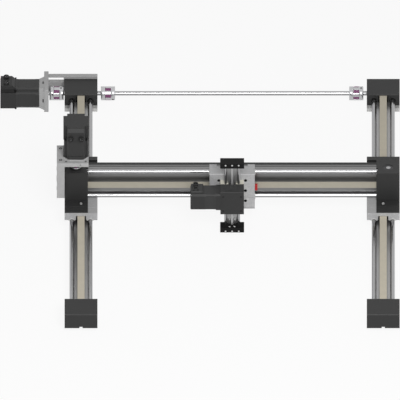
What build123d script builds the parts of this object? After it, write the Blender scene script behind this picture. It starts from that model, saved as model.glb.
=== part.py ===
from build123d import *

from dataclasses import dataclass
from math import cos, pi, sin
import os

# Three-axis belt gantry: two parallel floor axes, a bridge axis on their carriages and a short
# vertical cantilever axis on the bridge carriage. Millimetres, +Z up, +Y towards the drive end.

# fits and running gaps
shaft_fit = 0.05
slide_fit = 0.06
seat_gap = 0.1
belt_gap = 0.4
moving_gap = 0.7

# toothed belt and pulley
belt_width = 16.0
belt_thickness = 1.6
tooth_pitch = 5.0
pulley_teeth = 17
pulley_pitch_r = pulley_teeth * tooth_pitch / (2 * pi)
belt_inner_r = pulley_pitch_r - 0.33
belt_outer_r = belt_inner_r + belt_thickness
pulley_tip_r = belt_inner_r - 0.3
tooth_depth = 1.5
flange_thickness = 1.2
pulley_width = belt_width + 1.4
flange_r = belt_outer_r + 0.2
cavity_r = belt_outer_r + 0.8
cavity_half = pulley_width / 2 + flange_thickness + 0.9

# steel parts
rail_r = 5.0
drive_r = 5.0
bearing_r = 11.0
bearing_width = 6.0
bearing_recess = 0.8

# three jaw coupling
jaw_count = 3
hub_share = 0.36

# foot clamps of the floor axes
clamp_length = 12.0
clamp_height = 9.0

# socket head screws: head radius, head height, shank radius
screw_m5 = (4.25, 5.0, 2.5)
screw_m4 = (3.5, 4.0, 2.0)
screw_m3 = (2.75, 3.0, 1.5)
screw_bite = 8.0


@dataclass
class Module:
    """One belt axis, lying along X with its back on z = 0 and its carriage side up."""
    span: float
    rail_pitch: float
    base_height: float
    axis_height: float
    axis_inset: float
    block_length: float
    block_width: float
    block_low: float
    block_high: float
    carriage_half: float
    carriage_width: float
    carriage_end: float
    rail_engagement: float = 14.0
    side_flange: float = 3.5
    rail_seat_drop: float = 2.2
    plate_thickness: float = 13.0
    plate_rise: float = 9.0
    end_rise: float = 3.0

    @property
    def rail_height(self):
        return self.base_height + rail_r

    @property
    def axis_x(self):
        return self.span / 2 + self.axis_inset

    @property
    def plate_low(self):
        return self.rail_height + self.plate_rise

    @property
    def plate_high(self):
        return self.plate_low + self.plate_thickness


floor_axis = Module(
    span=794.0, rail_pitch=42.0, base_height=17.0, axis_height=20.2, axis_inset=31.0,
    block_length=63.0, block_width=74.0, block_low=0.0, block_high=38.0,
    carriage_half=73.0, carriage_width=74.0, carriage_end=22.5)
bridge_axis = Module(
    span=649.0, rail_pitch=65.4, base_height=24.7, axis_height=21.7, axis_inset=27.0,
    block_length=52.5, block_width=77.0, block_low=-8.8, block_high=45.7,
    carriage_half=51.0, carriage_width=109.0, carriage_end=16.0)

# layout: each floor axis stands this far outside the bridge profile's end
floor_axis_offset = 15.5
floor_axis_spacing = bridge_axis.span + 2 * floor_axis_offset
bridge_front_offset = 18.9
bridge_height = floor_axis.plate_high + bridge_axis.block_width / 2

# stepper motors: width, corner cut, body length, cap length
large_motor = (56.4, 12.2, 52.7, 35.0)
small_motor = (42.3, 4.0, 24.8, 32.6)
adapter_thickness = 11.0
motor_plate_thickness = 10.0
motor_plate_half = 29.0
leg_thickness = 17.5

# vertical axis
z_plate_width = 54.0
z_plate_depth = 24.0
z_plate_thickness = 12.0
z_length = 188.0
z_rail_r = 3.0
z_rail_pitch = 29.6
z_rail_inset = 17.3
z_base_thickness = 2.7
z_back_gap = 0.5
rack_width = 5.0
rack_module = 1.0
pinion_teeth = 25
rack_tip_inset = 11.5
z_block_width = 53.0
z_block_depth = 33.0
z_block_height = 61.0
z_block_gap = 1.3
z_axis_gap = 6.2
z_floor_gap = 0.8
pinion_r = rack_module * pinion_teeth / 2
z_axis_middle = z_length / 2 + z_floor_gap
plate_screw_rows = 27.9
plate_screw_columns = 30.0

# mounting plate between the bridge carriage and the vertical axis
mount_plate_depth = 24.0
mount_plate_height = 92.4
mount_plate_middle = z_axis_middle - 1.6

# the clip at the carriage's end that holds the belt's tail
clip_width = 6.0
clip_depth = 7.0
clip_height = 16.0
clip_inset = 4.0

# fixing holes: radius and depth
foot_hole = (2.75, 14.0)
foot_hole_inset = 12.0
foot_hole_spread = 63.0
tool_hole = (1.65, 8.0)
tool_hole_spread = (40.0, 12.0)

floor_place = {
    "left": Plane(origin=(-floor_axis_spacing / 2, 0, 0), x_dir=(0, 1, 0), z_dir=(0, 0, 1)),
    "right": Plane(origin=(floor_axis_spacing / 2, 0, 0), x_dir=(0, 1, 0), z_dir=(0, 0, 1)),
}
bridge_place = Plane(origin=(0, bridge_front_offset, bridge_height), x_dir=(1, 0, 0), z_dir=(0, -1, 0))

parts = {}
groups = {}


def keep(name, shape, place=None):
    """File a finished piece under its node name, moved to where its assembly stands."""
    parts[name] = place.location * shape if place else shape


def block(x0, x1, y0, y1, z0, z1):
    """A box from its six limits."""
    size = Box(x1 - x0, y1 - y0, z1 - z0)
    return Pos((x0 + x1) / 2, (y0 + y1) / 2, (z0 + z1) / 2) * size


def rod(axis, radius, start, end, at=(0, 0)):
    """A cylinder along one axis from start to end; at gives the other two coordinates in order."""
    body = Cylinder(radius, end - start)
    middle = (start + end) / 2
    if axis == "x":
        return Pos(middle, at[0], at[1]) * Rot(0, 90, 0) * body
    if axis == "y":
        return Pos(at[0], middle, at[1]) * Rot(90, 0, 0) * body
    return Pos(at[0], at[1], middle) * body


def ring(axis, outer, inner, start, end, at=(0, 0)):
    """A tube along one axis."""
    return rod(axis, outer, start, end, at) - rod(axis, inner, start - 1, end + 1, at)


def extrude_yz(points, x0, x1):
    """A closed outline in Y and Z carried along X."""
    outline = Polyline(*[(x0, y, z) for y, z in points], close=True)
    return extrude(make_face(outline), amount=x1 - x0, dir=(1, 0, 0))


def rail_profile(m):
    """The aluminium extrusion: rail seats at its edges, a channel for the returning belt, slots."""
    half = m.rail_pitch / 2
    edge = half + m.side_flange
    seat = m.rail_height - m.rail_seat_drop
    valley = m.base_height - 4
    top = half - m.side_flange - 2.5
    side = [
        (edge, 0), (edge, 2.8), (edge - 3, 2.8), (edge - 3, 7.4), (edge, 7.4),
        (edge, valley), (edge, seat), (half - m.side_flange, seat),
        (half - m.side_flange, valley), (top, valley), (top, m.base_height)]
    outline = side + [(-y, z) for y, z in reversed(side)]
    body = extrude_yz(outline, -m.span / 2, m.span / 2)
    for y in (-half, half):
        body -= rod("x", rail_r + shaft_fit, -m.span, m.span, (y, m.rail_height))
    low = m.axis_height - cavity_r
    channel = belt_width / 2 + moving_gap
    body -= block(-m.span, m.span, -channel, channel, low, low + belt_thickness + 2 * moving_gap)
    for y in (-1, 1):
        inner, outer = sorted((y * (channel + 2.5), y * (top - 2)))
        body -= block(-m.span, m.span, inner, outer, 8, m.base_height - 4)
        slot = y * (channel + top) / 2
        body -= block(-m.span, m.span, slot - 1.6, slot + 1.6, -1, 5)
        body -= block(-m.span, m.span, slot - 2.8, slot + 2.8, 2, 5)
    belt_face = block(-m.span, m.span, -channel, channel, m.base_height - 1.2, m.base_height + 1)
    return body - belt_face


def rails(m):
    """The two hardened round rails, held by both end blocks."""
    reach = m.span / 2 + m.rail_engagement
    return [rod("x", rail_r, -reach, reach, (y, m.rail_height))
            for y in (-m.rail_pitch / 2, m.rail_pitch / 2)]


def end_block(m):
    """The pulley housing at the positive end: belt cavity, bearing seats and rail sockets."""
    inner = m.span / 2
    outer = inner + m.block_length
    half = m.block_width / 2
    body = block(inner, outer, -half, half, m.block_low, m.block_high)
    body = chamfer(body.edges().filter_by(Axis.Y), 1.2)
    at = (m.axis_x, m.axis_height)
    body -= rod("y", cavity_r, -cavity_half, cavity_half, at)
    body -= block(inner - 1, m.axis_x, -cavity_half, cavity_half,
                  m.axis_height - cavity_r, m.axis_height + cavity_r)
    body -= rod("y", drive_r + 1, -half - 1, half + 1, at)
    depth = bearing_width + bearing_recess
    for start in (-half - 1, half - depth):
        body -= rod("y", bearing_r + shaft_fit, start, start + depth + 1, at)
    for y in (-m.rail_pitch / 2, m.rail_pitch / 2):
        reach = inner + m.rail_engagement + seat_gap
        body -= rod("x", rail_r + shaft_fit, inner - 1, reach, (y, m.rail_height))
        body -= rod("x", rail_r + 2.5, inner - 1, inner + 3, (y, m.rail_height))
    if m is floor_axis:
        for y in (-foot_hole_spread / 2, foot_hole_spread / 2):
            spot = (outer - foot_hole_inset, y)
            body -= rod("z", foot_hole[0], m.block_low - 1, m.block_low + foot_hole[1], spot)
    groove = 3.5
    body -= block(inner - 1, outer + 1, -groove, groove, m.block_low - 1, m.block_low + 4.4)
    return body


def bearings(m):
    """The two ball bearings that carry one pulley shaft."""
    half = m.block_width / 2 - bearing_recess
    at = (m.axis_x, m.axis_height)
    out = []
    for start in (-half, half - bearing_width):
        race = ring("y", bearing_r, drive_r + shaft_fit, start, start + bearing_width, at)
        face = start if start < 0 else start + bearing_width
        race -= ring("y", bearing_r - 1.8, drive_r + 1.8, face - 0.4, face + 0.4, at)
        out.append(race)
    return out


def pulley():
    """A toothed pulley with two flanges, its axis along Y through the origin."""
    half = pulley_width / 2
    wheel = rod("y", pulley_tip_r, -half, half)
    for index in range(pulley_teeth):
        angle = 360 * index / pulley_teeth
        gap = rod("y", tooth_depth * 0.85, -half - 1, half + 1, (pulley_tip_r - 0.1, 0))
        wheel -= Rot(0, angle, 0) * gap
    wheel += rod("y", flange_r, half, half + flange_thickness)
    wheel += rod("y", flange_r, -half - flange_thickness, -half)
    return wheel


def drive_belt(m):
    """The closed belt: two straight runs and a half turn round each pulley."""
    def loop(radius, half_width):
        shape = block(-m.axis_x, m.axis_x, -half_width, half_width,
                      m.axis_height - radius, m.axis_height + radius)
        for x in (-m.axis_x, m.axis_x):
            shape += rod("y", radius, -half_width, half_width, (x, m.axis_height))
        return shape
    return loop(belt_outer_r, belt_width / 2) - loop(belt_inner_r, belt_width)


def carriage(m):
    """The carriage body: a thick plate with deeper ends that straddle the rails and the belt."""
    half = m.carriage_half
    side = m.carriage_width / 2
    body = block(-half, half, -side, side, m.plate_low, m.plate_high)
    body = chamfer(body.edges().filter_by(Axis.X), 0.8)
    low = m.rail_height + m.end_rise
    notch = belt_width / 2 + 3.4
    belt_top = m.axis_height + belt_outer_r + 1
    for sign in (-1, 1):
        near, far = sorted((sign * (half - m.carriage_end), sign * half))
        body += block(near, far, -side, side, low, m.plate_low)
        line = sign * (half - m.carriage_end)
        body -= block(line - 0.5, line + 0.5, -side, side, m.plate_high - 0.6, m.plate_high + 1)
    for y in (-m.rail_pitch / 2, m.rail_pitch / 2):
        body -= rod("x", rail_r + 1, -half - 1, half + 1, (y, m.rail_height))
    body -= block(-half - 1, half + 1, -notch, notch, low - 1, belt_top)
    return body


def belt_clamps(m):
    """The two clamps in the carriage ends that grip the belt's upper run."""
    wide = belt_width / 2 + 3.4 - seat_gap
    low = m.rail_height + m.end_rise + 1
    top = m.axis_height + belt_outer_r + 1 - seat_gap
    out = []
    for sign in (-1, 1):
        near, far = sorted((sign * (m.carriage_half - m.carriage_end), sign * (m.carriage_half - 2)))
        clamp = block(near, far, -wide, wide, low, top)
        clamp -= block(near - 1, far + 1, -belt_width / 2 - belt_gap, belt_width / 2 + belt_gap,
                       m.axis_height + belt_inner_r - belt_gap, m.axis_height + belt_outer_r + belt_gap)
        out.append(clamp)
    return out


def slide_bearings(m):
    """Four open plain bearing blocks that hug the rails under the carriage plate."""
    length = 30.0
    low = m.rail_height - 4
    out = []
    for x_sign in (-1, 1):
        middle = x_sign * (m.carriage_half - m.carriage_end - length / 2 - seat_gap)
        for y_sign in (-1, 1):
            y = y_sign * m.rail_pitch / 2
            body = block(middle - length / 2, middle + length / 2, y - 8, y + 8, low, m.plate_low)
            body -= rod("x", rail_r + slide_fit, middle - length, middle + length, (y, m.rail_height))
            lip = m.side_flange + moving_gap
            body -= block(middle - length, middle + length, y - lip, y + lip, low - 1, m.rail_height)
            out.append(body)
    return out


def screw(size, length=6.0):
    """A socket head screw: head above z = 0, shank below."""
    head_r, head_h, shank_r = size
    body = rod("z", head_r, 0, head_h) + rod("z", shank_r, -length, 0)
    socket = extrude(RegularPolygon(head_r * 0.5, 6), amount=head_h * 0.55)
    return body - Pos(0, 0, head_h * 0.5) * socket


def coupling(radius, length):
    """A jaw coupling along Z from z = 0: two hubs whose jaws interlock with a soft star."""
    hub = length * hub_share
    jaw = length * (1 - 2 * hub_share)
    wedge = 360 / (2 * jaw_count)

    def sector(inner, outer, start, width, z0, z1):
        ring_body = rod("z", outer, z0, z1) - rod("z", inner, z0 - 1, z1 + 1)
        reach = outer * 3
        first = (reach * cos(start * pi / 180), reach * sin(start * pi / 180))
        stop = start + width
        last = (reach * cos(stop * pi / 180), reach * sin(stop * pi / 180))
        face = make_face(Polyline((0, 0, z0), (*first, z0), (*last, z0), close=True))
        return ring_body & extrude(face, amount=z1 - z0, dir=(0, 0, 1))

    leg = 14.0
    inner = radius * 0.46
    hubs = []
    for base, top, turn in ((0, hub, 0), (length - hub, length, wedge)):
        body = ring("z", radius, drive_r + shaft_fit, base, top)
        z0, z1 = (top - 0.5, top + jaw - 0.3) if base == 0 else (base - jaw + 0.3, base + 0.5)
        for index in range(jaw_count):
            start = turn + index * 2 * wedge + leg / 2
            body += sector(inner + 0.6, radius, start, wedge - leg, z0, z1)
        hubs.append(body)
    star = ring("z", inner, drive_r + 0.5, hub + 0.2, length - hub - 0.2)
    for index in range(2 * jaw_count):
        start = index * wedge - leg / 2 + 1
        star += sector(inner - 1, radius - 0.4, start, leg - 2, hub + 0.2, length - hub - 0.2)
    return hubs, star


def octagon(width, cut):
    """A square outline with its corners cut."""
    half = width / 2
    near = half - cut
    points = [(half, -near), (half, near), (near, half), (-near, half),
              (-half, near), (-half, -near), (-near, -half), (near, -half)]
    return make_face(Polyline(*points, close=True))


def motor_body(motor):
    """The laminated body of a stepper, standing on z = 0, with an open bore for its shaft."""
    width, cut, length, _ = motor
    body = extrude(octagon(width, cut), amount=length)
    waist = width / 2 - 1.1
    for turn in range(4):
        flat = block(waist, width, -width / 2 + cut * 0.4, width / 2 - cut * 0.4, length * 0.16, length * 0.9)
        body -= Rot(0, 0, 90 * turn) * flat
        if cut > 8:
            groove = rod("z", cut * 0.24, 3, length + 1, (width / 2 - cut / 2, width / 2 - cut / 2))
            body -= Rot(0, 0, 90 * turn) * groove
    return body - rod("z", drive_r + 1, -1, 12)


def motor_cap(motor, pad_turn):
    """The rear cap with a raised pad that carries the two round connectors."""
    width, cut, length, cap = motor
    body = Pos(0, 0, length) * extrude(octagon(width, cut), amount=cap)
    body = chamfer(body.faces().sort_by(Axis.Z)[-1].edges(), 1.5)
    pad_half = width * 0.39
    pad = block(-pad_half, pad_half, width / 2 - 1, width / 2 + 6, length + 4, length + cap - 1)
    pad = chamfer(pad.faces().sort_by(Axis.Y)[-1].edges(), 2)
    return Rot(0, 0, pad_turn) * (body + pad)


def connectors(motor, pad_turn):
    """Two round plug sockets that stand on the cap's pad."""
    width, _, length, cap = motor
    out = []
    for x in (-width * 0.21, width * 0.21):
        at = (x, length + cap * 0.64)
        base = width / 2 + 6
        socket = rod("y", 6.2, base, base + 5, at) - rod("y", 4.6, base + 1.5, base + 6, at)
        socket += rod("y", 1.2, base + 1, base + 4, at)
        out.append(Rot(0, 0, pad_turn) * socket)
    return out


def motor_adapter(motor):
    """The spacer between a stepper and its mounting plate, tapered towards the motor."""
    width, cut, _, _ = motor
    low = octagon(width + 3, cut * 0.55)
    high = Pos(0, 0, adapter_thickness) * octagon(width - 1.5, cut * 0.8)
    body = loft([low, high])
    return body - rod("z", 11.5, -1, adapter_thickness + 1)


def motor_bracket(m, gap, low_y, high_y, leg_low, leg_high):
    """The angle that carries a motor: a plate across the shaft and a leg on the block's end face.

    Local frame: the pulley axis is Z and leaves the block at z = 0, the block's end is towards +X.
    leg_low and leg_high are how far the leg stands above the plate's underside and below it."""
    end = m.block_length - m.axis_inset
    top = gap + motor_plate_thickness
    plate = block(-motor_plate_half, end + leg_thickness, low_y, high_y, gap, top)
    leg = block(end, end + leg_thickness, low_y + leg_low, high_y, gap - leg_high, gap)
    body = plate + leg
    body = chamfer(body.edges().filter_by(Axis.Y).group_by(Axis.Z)[-1], 1.0)
    body -= rod("z", 14.0, gap - 1, top + 1)
    for spot in bracket_spots(m, gap, high_y, low_y, leg_high):
        body -= spot * rod("z", screw_m5[2] + seat_gap, -screw_bite - 1, 1)
    return body


def bracket_spots(m, gap, high_y, low_y, leg_high):
    """Where the screws stand on the outer face of a motor bracket's leg."""
    end = m.block_length - m.axis_inset + leg_thickness
    spread = min(high_y, -low_y) * 0.6
    heights = (gap - leg_high * 0.58, gap - leg_high * 0.88)
    return [Pos(end, y, z) * Rot(0, 90, 0) for y in (-spread, spread) for z in heights]


def bracket_screws(m, gap, high_y, low_y, leg_high):
    """The screws that hold a motor bracket's leg to the block."""
    spots = bracket_spots(m, gap, high_y, low_y, leg_high)
    return [spot * screw(screw_m5, screw_bite) for spot in spots]


def gather(name, shapes, place=None):
    """Add solids to a node that holds several like pieces."""
    moved = [place.location * shape if place else shape for shape in shapes]
    groups.setdefault(name, []).extend(moved)


def build_module(m, name, ends, place):
    """The pieces that every belt axis has; ends names its two end blocks, the positive one first."""
    keep(f"{name}_profile", rail_profile(m), place)
    housing = end_block(m)
    pair = bearings(m)
    family = name.split("_")[0]
    gather(f"{family}_rails", rails(m), place)
    gather(f"{family}_belts" if family == "floor" else f"{family}_belt", [drive_belt(m)], place)
    for end, turn in zip(ends, (Rot(0, 0, 0), Rot(0, 0, 180))):
        keep(end, turn * housing, place)
        gather(f"{family}_ball_bearings", [turn * race for race in pair], place)


def plate_spots():
    """Where the vertical axis is screwed to the front of the bridge carriage."""
    front = bridge_front_offset - bridge_axis.plate_high - mount_plate_depth
    rows = (-plate_screw_rows, 0, plate_screw_rows)
    columns = (-plate_screw_columns, plate_screw_columns)
    return [Pos(x, front, z_axis_middle + z) * Rot(90, 0, 0) for z in rows for x in columns]


def mount_plate():
    """The deep plate with two cross grooves that carries the vertical axis in front of the carriage."""
    front = bridge_front_offset - bridge_axis.plate_high - mount_plate_depth
    half = bridge_axis.carriage_half
    low = mount_plate_middle - mount_plate_height / 2
    high = mount_plate_middle + mount_plate_height / 2
    body = block(-half, half, front, front + mount_plate_depth, low, high)
    body = chamfer(body.faces().sort_by(Axis.Y)[0].edges(), 1.0)
    for z in (mount_plate_middle - 17.7, mount_plate_middle + 19.8):
        body -= block(-half - 1, half + 1, front - 1, front + 1.2, z - 1, z + 1)
    for spot in plate_spots():
        body -= spot * rod("z", screw_m4[2] + seat_gap, -screw_bite - 1, 1)
    return body


def build_carriage(m, name, place):
    """The pieces of one carriage."""
    keep(name, carriage(m), place)
    family = name.split("_")[0]
    gather(f"{family}_slide_bearings", slide_bearings(m), place)
    gather(f"{family}_belt_clamps", belt_clamps(m), place)


def pulley_shaft(m, x, start, end):
    """A pulley on its round shaft, the shaft running from start to end across the axis."""
    at = (x, m.axis_height)
    return Pos(x, 0, m.axis_height) * pulley() + rod("y", drive_r, start, end, at)


def upright_bracket():
    """The ribbed angle behind the bridge end, standing on a floor carriage."""
    half = floor_axis.carriage_width / 2
    front = bridge_front_offset - bridge_axis.block_low
    thickness = 12.0
    foot_length = floor_axis.carriage_half - front - thickness
    base = floor_axis.plate_high
    top = base + bridge_axis.block_width
    body = block(-half, half, front, front + thickness, base, top)
    body += block(-half, half, front + thickness, front + thickness + foot_length, base, base + 9)
    for x in (-half + 5, half - 5):
        rib = Polyline((x - 4, front + thickness, base + 9), (x - 4, front + thickness + foot_length - 3, base + 9),
                       (x - 4, front + thickness, top - 16), close=True)
        body += extrude(make_face(rib), amount=8, dir=(1, 0, 0))
    return chamfer(body.edges().filter_by(Axis.X).group_by(Axis.Z)[-1], 1.0)


def foot_clamps(m):
    """The light clamps that tie each end block's inner corners to the base it stands on."""
    side = m.rail_pitch / 2 + m.side_flange + seat_gap
    out = []
    for x_sign in (-1, 1):
        near, far = sorted((x_sign * (m.span / 2 - clamp_length), x_sign * (m.span / 2 - seat_gap)))
        for y_sign in (-1, 1):
            low, high = sorted((y_sign * side, y_sign * m.block_width / 2))
            clamp = block(near, far, low, high, 0, clamp_height)
            toe_low, toe_high = sorted((y_sign * (side - 2.6), y_sign * side))
            clamp += block(near, far, toe_low, toe_high, 2.8 + seat_gap, 7.4 - seat_gap)
            middle = (y_sign * (side + m.block_width / 2)) / 2
            clamp -= rod("z", screw_m5[2] + seat_gap, -1, clamp_height + 1, ((near + far) / 2, middle))
            out.append(clamp)
    return out


def build_floor_axes():
    """Both floor axes with their carriages."""
    m = floor_axis
    for side, place in floor_place.items():
        ends = (f"floor_end_block_rear_{side}", f"floor_end_block_front_{side}")
        build_module(m, f"floor_axis_{side}", ends, place)
        build_carriage(m, f"floor_carriage_{side}", place)
        idler = pulley_shaft(m, -m.axis_x, -m.block_width / 2 + 1, m.block_width / 2 - 1)
        gather("idler_pulleys", [idler], place)
        gather("upright_brackets", [Pos(place.origin.X, 0, 0) * upright_bracket()])
        gather("foot_clamps", foot_clamps(m), place)


floor_gap = 36.0
floor_coupling = (15.7, 31.5)
sync_gap = 8.0


def build_floor_drive():
    """The motor at the left rear and the shaft that turns both rear pulleys together."""
    m = floor_axis
    half = m.block_width / 2
    left = -floor_axis_spacing / 2
    axis_y = m.axis_x
    line = (axis_y, m.axis_height)
    radius, length = floor_coupling
    drive = Plane(origin=(left - half, axis_y, m.axis_height), x_dir=(0, 1, 0), z_dir=(-1, 0, 0))
    start = (floor_gap - length) / 2
    seat = length * hub_share - seat_gap
    spans = ((left, half + start + seat, half + sync_gap + seat), (-left, half + sync_gap + seat, half - 1))
    for x, low, high in spans:
        wheel = Pos(x, axis_y, m.axis_height) * Rot(0, 0, 90) * pulley()
        gather("drive_pulleys", [wheel + rod("x", drive_r, x - low, x + high, line)])
    hubs, star = coupling(radius, length)
    gather("floor_coupling_hubs", [Pos(0, 0, start) * hub for hub in hubs], drive)
    gather("floor_coupling_stars", [Pos(0, 0, start) * star], drive)
    inner = floor_axis_spacing / 2 - half - sync_gap
    for sign in (-1, 1):
        frame = Plane(origin=(sign * inner, axis_y, m.axis_height), x_dir=(0, 1, 0), z_dir=(-sign, 0, 0))
        gather("floor_coupling_hubs", hubs, frame)
        gather("floor_coupling_stars", [star], frame)
    reach = inner - length + seat
    keep("sync_shaft", rod("x", drive_r, -reach, reach, line))
    lift = motor_plate_half - 1
    leg = floor_gap + m.block_width
    keep("floor_motor_bracket", motor_bracket(m, floor_gap, -lift, lift, 6, leg), drive)
    gather("floor_screws", bracket_screws(m, floor_gap, lift, -lift, leg), drive)
    gather("floor_coupling_hubs", [motor_shaft(floor_gap, start + length - seat)], drive)
    build_motor("floor", large_motor, drive, floor_gap, 180)


def motor_shaft(gap, start):
    """The round shaft that leaves a stepper and ends inside its coupling hub."""
    return rod("z", drive_r, start, gap + motor_plate_thickness + adapter_thickness + 10)


def build_motor(name, motor, place, gap, pad_turn):
    """A stepper standing on its adapter and mounting plate."""
    face = gap + motor_plate_thickness
    keep(f"{name}_motor_adapter", Pos(0, 0, face) * motor_adapter(motor), place)
    lift = Pos(0, 0, face + adapter_thickness)
    keep(f"{name}_motor_body", lift * motor_body(motor), place)
    keep(f"{name}_motor_cap", lift * motor_cap(motor, pad_turn), place)
    keep(f"{name}_motor_connectors", Compound([lift * c for c in connectors(motor, pad_turn)]), place)


bridge_gap = 19.5
bridge_coupling = (12.5, 17.5)
bridge_leg = 80.0


def build_bridge():
    """The bridge axis, its motor on the left block and its carriage."""
    m = bridge_axis
    build_module(m, "bridge", ("bridge_end_block_right", "bridge_end_block_left"), bridge_place)
    build_carriage(m, "bridge_carriage", bridge_place)
    half = m.block_width / 2
    radius, length = bridge_coupling
    start = (bridge_gap - length) / 2
    keep("bridge_idler_pulley", pulley_shaft(m, m.axis_x, -half + 1, half - 1), bridge_place)
    seat = length * hub_share - seat_gap
    top = half + start + seat
    keep("bridge_drive_pulley", pulley_shaft(m, -m.axis_x, -half + 1, top), bridge_place)
    drive = Plane(origin=(-m.axis_x, bridge_front_offset - m.axis_height, bridge_height + half),
                  x_dir=(-1, 0, 0), z_dir=(0, 0, 1))
    hubs, star = coupling(radius, length)
    shaft = motor_shaft(bridge_gap, start + length - seat)
    gather("bridge_coupling_hubs", [Pos(0, 0, start) * hub for hub in hubs] + [shaft], drive)
    gather("bridge_coupling_star", [Pos(0, 0, start) * star], drive)
    lift = motor_plate_half
    leg = bridge_leg
    keep("bridge_motor_bracket", motor_bracket(m, bridge_gap, -lift, lift, 0, leg), drive)
    gather("bridge_bracket_screws", bracket_screws(m, bridge_gap, lift, -lift, leg), drive)
    build_motor("bridge", large_motor, drive, bridge_gap, 0)


def rack():
    """The toothed bar down the middle of the vertical guide, teeth towards -Y."""
    pitch = pi * rack_module
    height = z_length - 2 * z_plate_thickness
    back = -z_back_gap - z_base_thickness
    tip = -z_plate_depth + rack_tip_inset
    root = tip + 1.6 * rack_module
    count = int(height / pitch)
    low = -count * pitch / 2
    points = [(back, -height / 2), (root, -height / 2)]
    for index in range(count):
        z = low + index * pitch
        points += [(root, z + pitch * 0.12), (tip, z + pitch * 0.36), (tip, z + pitch * 0.64), (root, z + pitch * 0.88)]
    points += [(root, height / 2), (back, height / 2)]
    return extrude_yz(points, -rack_width / 2, rack_width / 2)


def pinion():
    """The spur wheel that drives the rack, its axis along X through the origin."""
    tip = pinion_r + 0.75 * rack_module
    root = pinion_r - 1.05 * rack_module
    step = 2 * pi / pinion_teeth
    points = []
    for index in range(pinion_teeth):
        middle = index * step
        for radius, share in ((root, -0.32), (tip, -0.13), (tip, 0.13), (root, 0.32)):
            angle = middle + share * step
            points.append((radius * cos(angle), radius * sin(angle)))
    return extrude_yz(points, -rack_width * 1.2, rack_width * 1.2)


def z_end_plate(sign):
    """An end plate of the vertical guide; sign is +1 for the top one."""
    half = z_plate_width / 2
    near = sign * (z_length / 2 - z_plate_thickness)
    low, high = sorted((near, sign * z_length / 2))
    body = block(-half, half, -z_plate_depth, 0, low, high)
    body = fillet(body.edges().filter_by(Axis.Z), 1.5)
    for x in (-z_rail_pitch / 2, z_rail_pitch / 2):
        socket_low, socket_high = sorted((near - sign, near + sign * 8.2))
        body -= rod("z", z_rail_r + shaft_fit, socket_low, socket_high, (x, -z_plate_depth + z_rail_inset))
    if sign < 0:
        for x in (-tool_hole_spread[0] / 2, tool_hole_spread[0] / 2):
            for y in (-tool_hole_spread[1] / 2, tool_hole_spread[1] / 2):
                spot = (x, y - z_plate_depth / 2)
                body -= rod("z", tool_hole[0], -z_length / 2 - 1, -z_length / 2 + tool_hole[1], spot)
    return body


def z_guide():
    """The moving guide of the vertical axis, its back on y = 0 and its middle at z = 0."""
    half = z_length / 2 - z_plate_thickness
    back = -z_back_gap
    front = back - z_base_thickness
    rail_y = -z_plate_depth + z_rail_inset
    side = z_rail_pitch / 2
    base = block(-side - 1.8, side + 1.8, front, back, -half, half)
    for x in (-side, side):
        base += block(x - 1.8, x + 1.8, rail_y + 2, front, -half, half)
        base -= rod("z", z_rail_r + shaft_fit, -half - 1, half + 1, (x, rail_y))
    for x in (-6.6, 6.6):
        base += block(x - 1.2, x + 1.2, front - 2.5, front, -half, half)
    bars = [rod("z", z_rail_r, -half - 8, half + 8, (x, rail_y)) for x in (-side, side)]
    return base, bars


def z_plate_screws():
    """The small bright screws in the end plates: three in front, two beside the rack."""
    out = []
    for sign in (-1, 1):
        row = sign * (z_length / 2 - 3.6)
        for x in (-z_rail_pitch / 2, 0, z_rail_pitch / 2):
            out.append(Pos(x, -z_plate_depth, row) * Rot(90, 0, 0) * rod("z", 1.9, 0, 0.6))
        near = sign * (z_length / 2 - z_plate_thickness)
        for x in (-5.4, 5.4):
            low, high = sorted((near, near - sign * 0.8))
            out.append(rod("z", 1.9, low, high, (x, -z_plate_depth + 5)))
    return out


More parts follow.
